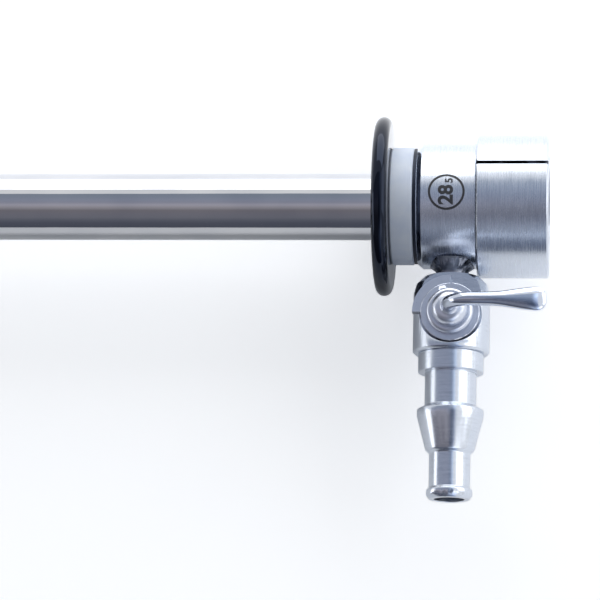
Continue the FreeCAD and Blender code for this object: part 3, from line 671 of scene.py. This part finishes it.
def seen_rays(tree):
    """1 for camera, glossy and transmission rays, 0 for the light that falls on the object."""
    path = add(tree, "ShaderNodeLightPath").outputs
    return largest(tree, path["Is Camera Ray"], path["Is Glossy Ray"],
                   path["Is Transmission Ray"])


# Where the floor looks brighter in mirrors: an axis, the place in metres where that begins, the
# place where it is full, and how bright it is there. They lie behind the object, before it and
# under the head.
BRIGHT_FLOOR = [("Y", 0.0, 0.008, 0.8), ("Y", -0.018, -0.035, 0.25), ("X", -0.022, -0.002, 0.5)]

# How strongly the floor glows to the camera up to a distance in metres, and beyond another.
GLOW_NEAR, GLOW_FAR = 0.52, 1.0
NEAR, FAR = 0.3, 1.1


def pale_floor():
    """The floor: matt, with a glow of its own that only the camera and mirrors see.

    Far away it is as bright as the world, so no horizon shows.
    """
    bpy.ops.object.select_all(action="DESELECT")
    bpy.ops.mesh.primitive_plane_add(size=3.0)
    floor = bpy.context.object
    floor.name = "floor"
    floor.location = (0.0, 0.0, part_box("guard_disc")[0].z)
    material, tree = empty_material("pale_floor")
    matt = add(tree, "ShaderNodeBsdfDiffuse", {"Color": colour("#f4f6f9")})
    place = add(tree, "ShaderNodeTexCoord").outputs["Object"]
    axes = add(tree, "ShaderNodeSeparateXYZ", links={0: place})
    in_mirrors = largest(tree, *[
        add(tree, "ShaderNodeMapRange", {
            "From Min": begins, "From Max": full, "To Min": 0.0, "To Max": bright},
            {0: axes.outputs[axis]}).outputs[0]
        for axis, begins, full, bright in BRIGHT_FLOOR])
    distance = add(tree, "ShaderNodeVectorMath", {"operation": "LENGTH"}, {0: place})
    to_camera = add(tree, "ShaderNodeMapRange", {
        "From Min": NEAR, "From Max": FAR, "To Min": GLOW_NEAR, "To Max": GLOW_FAR},
        {0: distance.outputs["Value"]})
    strength = add(tree, "ShaderNodeMix", links={
        "Factor": add(tree, "ShaderNodeLightPath").outputs["Is Camera Ray"],
        "A": in_mirrors, "B": to_camera.outputs[0]})
    glow = add(tree, "ShaderNodeEmission", {"Color": colour(ROOM_WHITE)},
               {"Strength": strength.outputs[0]})
    both = add(tree, "ShaderNodeAddShader", links={0: matt.outputs[0], 1: glow.outputs[0]})
    mixed = add(tree, "ShaderNodeMixShader", links={
        0: seen_rays(tree), 1: matt.outputs[0], 2: both.outputs[0]})
    add(tree, "ShaderNodeOutputMaterial", links={"Surface": mixed.outputs[0]})
    floor.data.materials.append(material)


def light_the_stage():
    """A white world and floor, a large soft lamp behind the object and smaller ones round it."""
    world = bpy.data.worlds.new("studio")
    bpy.context.scene.world = world
    world.use_nodes = True
    tree = world.node_tree
    tree.nodes.clear()
    fill = add(tree, "ShaderNodeBackground", {"Color": colour("#eef1f6"), "Strength": 0.3})
    seen = add(tree, "ShaderNodeBackground", {"Color": colour(ROOM_WHITE), "Strength": 1.0})
    mixed = add(tree, "ShaderNodeMixShader", links={
        0: seen_rays(tree), 1: fill.outputs[0], 2: seen.outputs[0]})
    add(tree, "ShaderNodeOutputWorld", links={"Surface": mixed.outputs[0]})
    pale_floor()
    soft_box("key_lamp", (0.05, 0.50, 0.20), 0.75, 0.46, 2.2)
    soft_box("front_lamp", (0.26, -0.30, 0.30), 0.20, 0.20, 0.9)
    soft_box("right_lamp", (0.60, 0.12, 0.34), 0.60, 0.50, 1.3)
    soft_box("left_lamp", (-0.85, -0.12, 0.14), 0.50, 0.24, 1.8)
    arched_card()


# Each visible solid that gets a finer copy: its body, its slot and how far its edges are broken,
# in mm. The stopcock body also has its shoulder eased.
FINISHED = {
    "sheath_tube": ("sheath", "polished_tube_steel", 0.05),
    "insulating_beak": ("sheath", "insulating_ceramic", 0.08),
    "colour_ring": ("sheath", "white_ring_plastic", 0.05),
    "irrigation_collar": ("sheath", "satin_steel", 0.04),
    "lock_housing": ("sheath", "satin_steel", 0.02),
    "release_button": ("latch", "satin_steel", 0.02),
    "port_neck": ("sheath", "polished_fitting_steel", 0),
    "stopcock_body": ("sheath", "polished_fitting_steel", 0.08, shoulder),
    "stopcock_plug": ("stopcock_key", "polished_fitting_steel", 0),
    "tension_nut": ("stopcock_key", "polished_fitting_steel", 0.05),
    "hose_barb": ("sheath", "polished_fitting_steel", 0.08),
}

# The collar's chamfer is buffed. The slit's walls, the wall of the stopcock's recess and the ends
# of the plug's wing get the darker milled steel, whose dark colour is painted shade. These tests
# pick their faces.


def on_chamfer(centre, normal):
    """The collar's chamfer, which looks towards the tube's far end."""
    return normal.x < -0.4 and centre.yz.length > 7.9 * MM


def above_slit(centre, normal):
    """The button's wall of the slit."""
    return normal.y < -0.9 and centre.y < 4.5 * MM


def below_slit(centre, normal):
    """The drum's wall of the slit."""
    return normal.y > 0.9 and 3.0 * MM < centre.y < 4.5 * MM


def on_recess_wall(centre, normal):
    """The steep wall of the round recess in the stopcock body."""
    return (3.0 * MM < centre.z < 5.5 * MM and abs(normal.z) < 0.5
            and math.hypot(centre.x - PORT_X, centre.y - PLUG_Y) < 4.45 * MM)


def on_wing_end(centre, normal):
    """The two ends of the plug's wing."""
    return abs(normal.y) > 0.9 and 3.3 * MM < centre.z < 5.2 * MM and centre.x < PORT_X


dress_nodes()
finished = {node: machined(node, *facts) for node, facts in FINISHED.items()}

buffed, shade_painted = (bpy.data.materials[name] for name in ("buffed_steel", "milled_steel_painted_shade"))
plug_hub(finished["stopcock_plug"])
for node, material, chosen in (
        ("irrigation_collar", buffed, on_chamfer), ("release_button", shade_painted, above_slit),
        ("lock_housing", shade_painted, below_slit), ("stopcock_body", shade_painted, on_recess_wall),
        ("stopcock_plug", shade_painted, on_wing_end)):
    finish_faces(finished[node], material, chosen)
stopcock_lever()
guard_disc()
size_mark()
light_the_stage()
stand_in_photo_view()
bpy.context.scene.view_settings.view_transform = "Standard"
